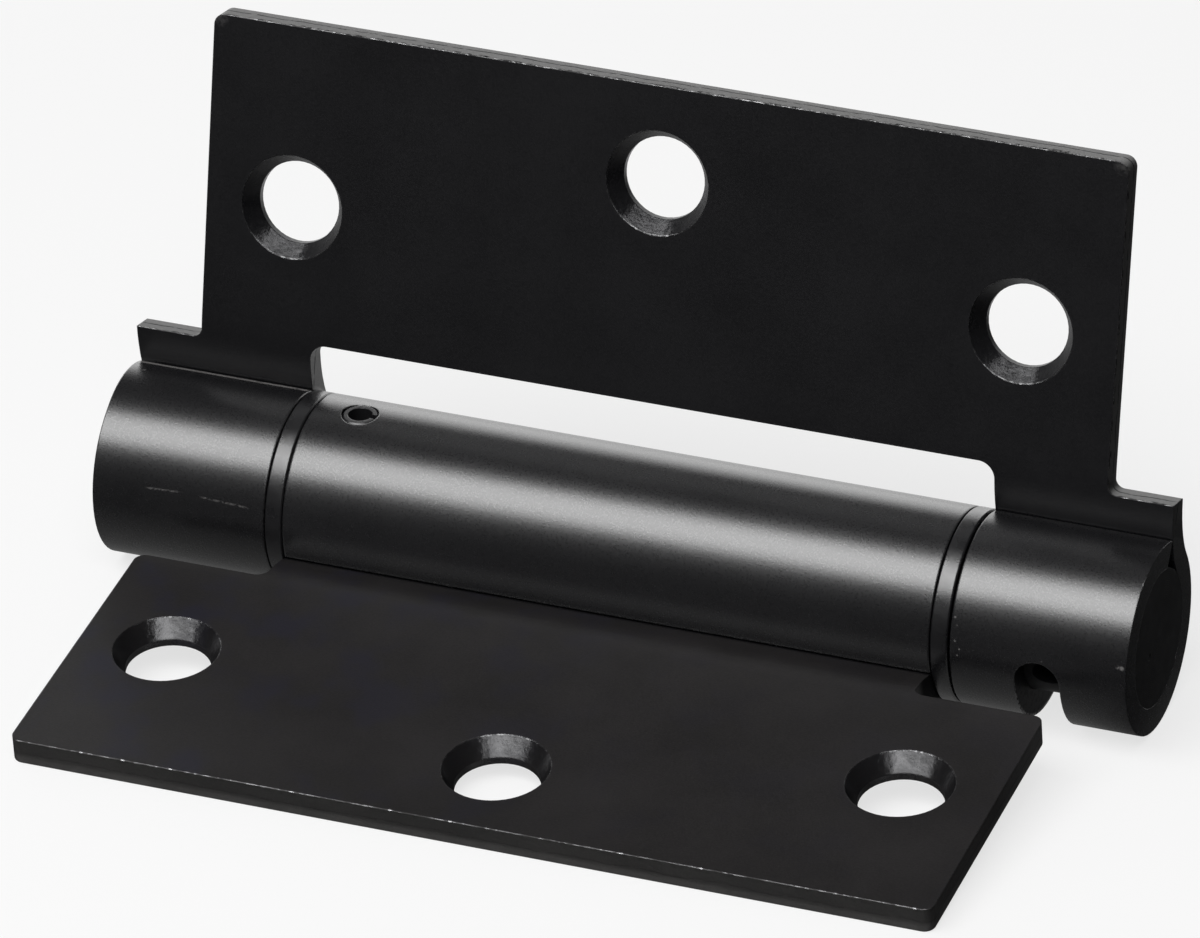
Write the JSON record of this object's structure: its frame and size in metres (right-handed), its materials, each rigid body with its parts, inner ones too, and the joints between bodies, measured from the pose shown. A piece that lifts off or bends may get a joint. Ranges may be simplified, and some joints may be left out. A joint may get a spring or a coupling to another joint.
{
  "type": "spring loaded door hinge",
  "caption": "Door hinge of two folded steel leaves with countersunk screw holes, round a barrel that holds a torsion spring wound through a slot in the end knuckle.",
  "frame": {"origin": "centre of the flat leaf's middle screw hole, on the leaf's mounting face", "axes": "+X along the barrel from the left knuckle to the slotted right knuckle, +Y from the hole towards the barrel, +Z out of the flat leaf's countersunk side"},
  "size_m": [0.1163, 0.0679, 0.0581],
  "materials": {
    "black_leaf_steel": "satin",
    "black_turned_steel": "satin",
    "pin_steel": "satin",
    "spring_steel": "satin"
  },
  "bodies": {
    "flat_side": {"flat_leaf": "black_leaf_steel", "left_thrust_ring": "black_turned_steel", "right_thrust_ring": "black_turned_steel", "anchor_plug": "black_turned_steel", "anchor_roll_pin": "pin_steel", "torsion_spring": "spring_steel", "spring_guide_rod": "pin_steel"},
    "upright_side": {"upright_leaf": "black_leaf_steel", "left_pivot_plug": "black_turned_steel", "right_end_cap": "black_turned_steel"},
    "winder": {"winding_plug": "black_turned_steel"}
  },
  "joints": [
    {"name": "leaf_swing", "type": "hinge", "parent": "flat_side", "child": "upright_side", "pos_m": [0, 0.0397, 0.00359], "axis": [1, 0, 0], "range_deg": [-72.8, 107]},
    {"name": "plug_winding", "type": "hinge", "parent": "flat_side", "child": "winder", "pos_m": [0.0483, 0.0397, 0.00359], "axis": [1, 0, 0], "range_deg": [-270, 0], "stiffness_Nm_per_rad": 0.74, "deforming": ["torsion_spring"]}
  ]
}
